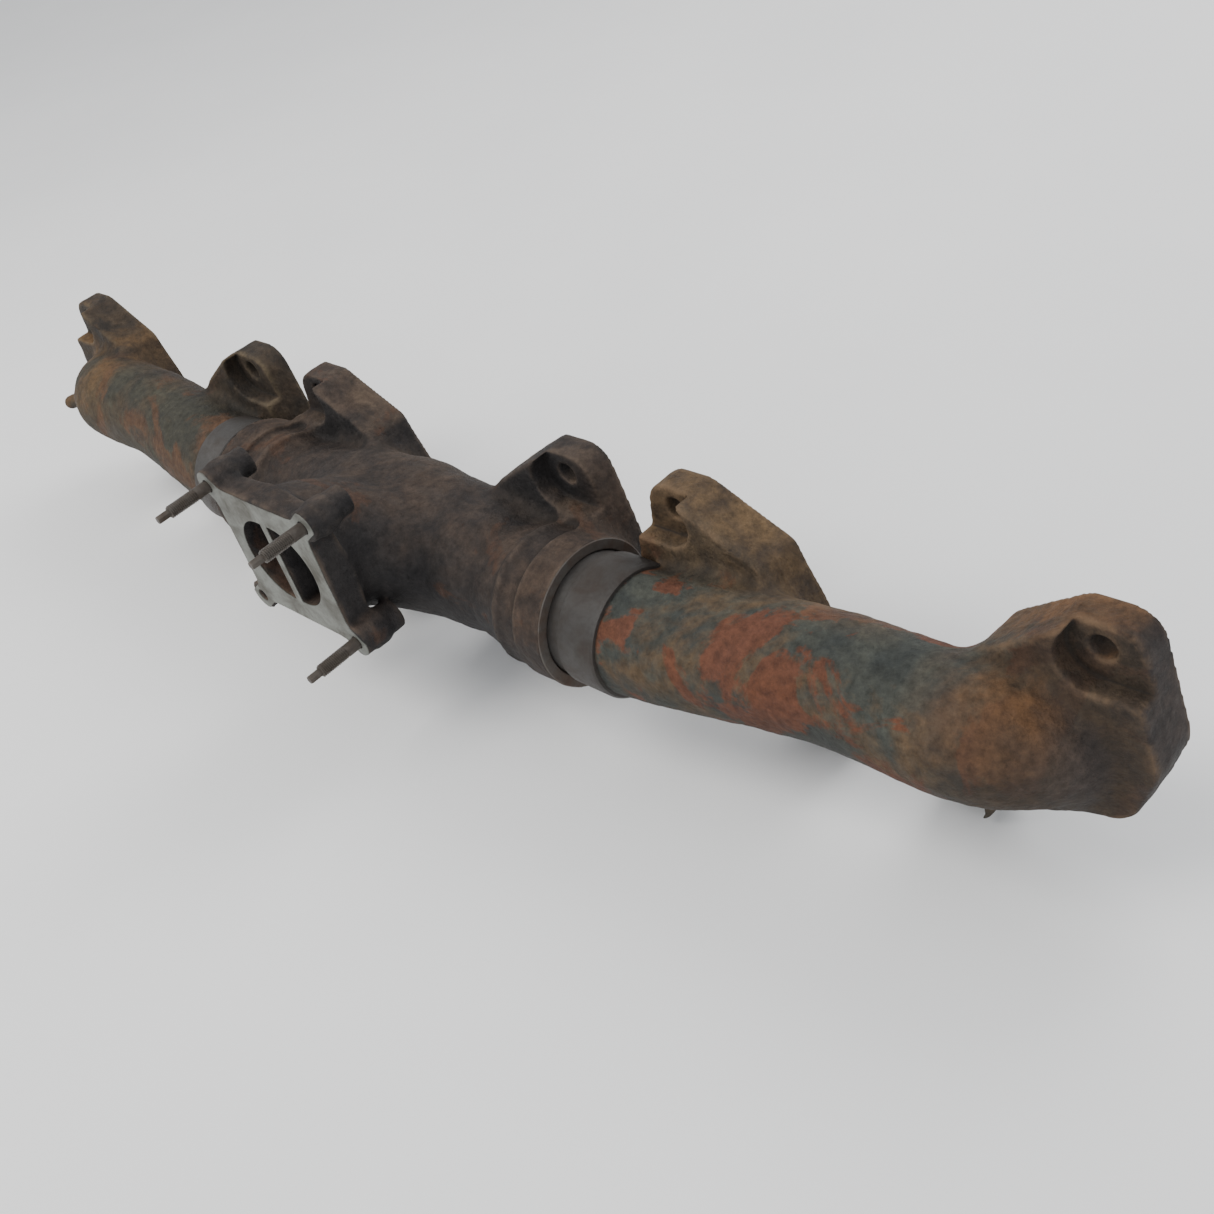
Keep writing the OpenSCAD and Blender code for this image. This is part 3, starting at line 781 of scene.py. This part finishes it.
groove = []
for i in range(RING_COUNT):
    g = SPIGOT_END + RING_START + RING_PITCH * i
    for x, r in ((-RING_PLAY, SPIGOT_R), (-RING_PLAY, GROOVE_R), (RING_W + RING_PLAY, GROOVE_R),
                 (RING_W + RING_PLAY, SPIGOT_R)):
        groove.append((g + x, r))
SHOULDER_R, SHOULDER_END = SHOULDER_D / 2, SHOULDER_X + SHOULDER_LEN
spigot = ([(SPIGOT_END, BORE_LINER_R), (SPIGOT_END, SPIGOT_R - 0.6), (SPIGOT_END + 0.6, SPIGOT_R)] + groove
          + [(SHOULDER_X, SPIGOT_R), (SHOULDER_X, SHOULDER_R - 0.6), (SHOULDER_X + 0.6, SHOULDER_R),
             (SHOULDER_END - 1.4, SHOULDER_R), (SHOULDER_END, SHOULDER_R - 1.1),
             (SHOULDER_END, BORE_LINER_R)])
liner_r, collar_r = COLLAR_BORE / 2, COLLAR_D / 2
liner = [(COLLAR_END - COLLAR_DEPTH + 0.3, liner_r), (COLLAR_END - 0.7, liner_r),
         (COLLAR_END, liner_r + 0.7), (COLLAR_END, collar_r - 1), (COLLAR_END - 0.5, collar_r - 0.5),
         (COLLAR_END - 0.6, liner_r + 0.8), (COLLAR_END - COLLAR_DEPTH + 0.3, liner_r + 0.3)]
for side, tag, end in ((-1, "front", "front_end"), (1, "rear", "rear_end")):
    lathe_x(tag + "_spigot", spigot, LOG_Y, LOG_Z, side, turned_metal, end)
    lathe_x(tag + "_collar_bore", liner, LOG_Y, LOG_Z, side, bore_metal, "centre")


def face_plate():
    """The machined face of the turbocharger flange, with its gas openings and stud holes."""
    curve = bpy.data.curves.new("turbo_face", "CURVE")
    curve.dimensions = "2D"
    curve.fill_mode = "BOTH"
    curve.extrude = 0.25 * MM

    def ring(points):
        s = curve.splines.new("POLY")
        s.points.add(len(points) - 1)
        for p, (x, z) in zip(s.points, points):
            p.co = (x * MM, z * MM, 0, 1)
        s.use_cyclic_u = True

    half_x, half_z, corner_r = 46.4, 42.4, 9.4
    corners = []
    for sx, sz, start in ((1, 1, 0), (-1, 1, 90), (-1, -1, 180), (1, -1, 270)):
        for turn in range(-9, 100, 6):
            a = math.radians(start + turn)
            corners.append((sx * STUD_X + corner_r * math.cos(a), sz * STUD_Z + corner_r * math.sin(a)))
    outline = []
    for i, p in enumerate(corners):
        outline.append(p)
        q = corners[(i + 1) % len(corners)]
        if math.dist(p, q) < 30:
            continue
        # A straight side dips from its corners to the plate's half width
        for t in (0.10, 0.16, 0.24, 0.76, 0.84, 0.90):
            x, z = p[0] + (q[0] - p[0]) * t, p[1] + (q[1] - p[1]) * t
            dip = (0.16 - min(t, 1 - t)) * 10
            if abs(q[0] - p[0]) > abs(q[1] - p[1]):
                z = math.copysign(max(half_z, min(abs(z), half_z + 1.5 * dip)), z)
            else:
                x = math.copysign(max(half_x, min(abs(x), half_x + 2.0 * dip)), x)
            outline.append((x, z))
    ring(outline)
    for side in (-1, 1):
        top = math.acos((DIVIDER / 2 - DUCT_SIDE) / OPENING_R)
        pts = [(side * (DUCT_SIDE + OPENING_R * math.cos(a)), OPENING_R * math.sin(a))
               for a in np.linspace(-top, top, 49)]
        ring(pts)
    for x, z in STUD_PLACES:
        ring([(x + RELIEF_R * math.cos(a), z + RELIEF_R * math.sin(a))
              for a in np.linspace(0, 2 * math.pi, 33)[:-1]])
    o = bpy.data.objects.new("turbo_face", curve)
    bpy.context.scene.collection.objects.link(o)
    o.rotation_euler = (math.pi / 2, 0, 0)
    o.location = (0, 0.27 * MM, 0)
    bpy.context.view_layer.update()
    mesh = bpy.data.meshes.new_from_object(o.evaluated_get(bpy.context.evaluated_depsgraph_get()))
    mesh.transform(o.matrix_world)
    bpy.data.objects.remove(o)
    mesh.materials.clear()
    mesh.materials.append(face_metal)
    plate = bpy.data.objects.new("turbo_face", mesh)
    bpy.context.scene.collection.objects.link(plate)
    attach(plate, "centre")


face_plate()


def stud(name, node, sx, sz):
    """Threaded stud with a plain neck and a small six-sided end."""
    segments, verts, faces = 48, [], []
    neck_r, neck_end, pitch, root_r, thread_h = 3.86, 9.0, 1.25, 3.28, 0.70
    rings = [(0.6, 3.5), (-0.2, 3.5)]
    rings += [(-y, neck_r) for y in np.arange(0.3, neck_end, 0.8)]
    rings += [(-y, "thread") for y in np.arange(neck_end, 27.4, pitch / 8)]
    rings += [(-27.7, 3.45), (-28.0, 2.9), (-28.05, "hex"), (-35.4, "hex"), (-35.95, "hex_end")]
    for y, kind in rings:
        for s in range(segments):
            a = 2 * math.pi * s / segments
            if kind == "thread":
                turn = (y / pitch + s / segments) % 1.0
                r = root_r + thread_h * min(1.0, 1.25 * abs(2 * turn - 1))
            elif kind in ("hex", "hex_end"):
                b = (a + math.pi / 6) % (math.pi / 3) - math.pi / 6
                r = min(2.7, 2.36 / math.cos(b)) * (0.86 if kind == "hex_end" else 1)
            else:
                r = kind
            verts.append((sx * STUD_X + r * math.cos(a), y, sz * STUD_Z + r * math.sin(a)))
    for i in range(len(rings) - 1):
        for s in range(segments):
            t = (s + 1) % segments
            low, high = i * segments, (i + 1) * segments
            faces.append((low + s, low + t, high + t, high + s))
    for i, flip in ((0, True), (len(rings) - 1, False)):
        verts.append((sx * STUD_X, rings[i][0], sz * STUD_Z))
        c = len(verts) - 1
        for s in range(0, segments, 2):
            q = (c, i * segments + s, i * segments + s + 1, i * segments + (s + 2) % segments)
            faces.append(q[::-1] if flip else q)
    o = add_mesh(name, verts, faces, stud_metal, "centre")
    o.data.set_sharp_from_angle(angle=math.radians(38))
    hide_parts(node)


stud("stud_upper_front_thread", "stud_upper_front", -1, 1)
stud("stud_upper_rear_thread", "stud_upper_rear", 1, 1)
stud("stud_lower_rear_thread", "stud_lower_rear", 1, -1)

for name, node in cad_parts.items():
    if name.endswith("_ring"):
        node.data.materials.clear()
        node.data.materials.append(ring_metal)

# ---- stage ----

floor_z = START_BOX[0][2] - 0.0005
mesh = bpy.data.meshes.new("floor")
reach = 6.0
corners = [(sx * reach, sy * reach, floor_z) for sx, sy in ((-1, -1), (1, -1), (1, 1), (-1, 1))]
mesh.from_pydata(corners, [], [(0, 1, 2, 3)])
floor = bpy.data.objects.new("floor", mesh)
bpy.context.scene.collection.objects.link(floor)
paper = Nodes("pale_floor")
cloud = paper.ramp(paper.noise(3, 3), 0.3, 0.7)
paper.set(paper.shader, "Base Color", paper.mix(cloud, (0.88, 0.88, 0.875), (0.92, 0.918, 0.91)))
paper.set(paper.shader, "Roughness", 0.85)
floor.data.materials.append(paper.material)

world = bpy.data.worlds.new("soft")
bpy.context.scene.world = world
world.use_nodes = True
world.node_tree.nodes["Background"].inputs["Color"].default_value = (0.92, 0.94, 0.97, 1)
world.node_tree.nodes["Background"].inputs["Strength"].default_value = 0.80


def lamp(name, at, target, size, power, colour):
    data = bpy.data.lights.new(name, "AREA")
    data.shape = "DISK"
    data.size = size
    data.energy = power
    data.color = colour
    o = bpy.data.objects.new(name, data)
    bpy.context.scene.collection.objects.link(o)
    o.location = at
    o.rotation_euler = (Vector(at) - Vector(target)).to_track_quat("Z", "Y").to_euler()


lamp("key", (-0.7, -0.9, 1.7), (0, 0.05, 0), 1.2, 30, (1.0, 0.98, 0.95))
lamp("fill", (1.6, -0.9, 0.9), (0, 0.05, 0), 1.6, 12, (0.93, 0.96, 1.0))
lamp("back", (0.2, 1.6, 1.3), (0, 0.05, 0), 1.2, 16, (1.0, 1.0, 1.0))

camera = bpy.data.cameras.new("camera")
camera.sensor_width = 36
camera.lens = 43.0
camera.clip_start = 0.01
eye = bpy.data.objects.new("camera", camera)
bpy.context.scene.collection.objects.link(eye)
right, up = (0.70365, 0.66497, -0.25037), (-0.28417, 0.58632, 0.75860)
back = (0.65124, -0.46264, 0.60154)
at = (0.68687, -0.27795, 0.43920)
eye.matrix_world = Matrix([[right[i], up[i], back[i], at[i]] for i in range(3)] + [[0, 0, 0, 1]])
bpy.context.scene.camera = eye
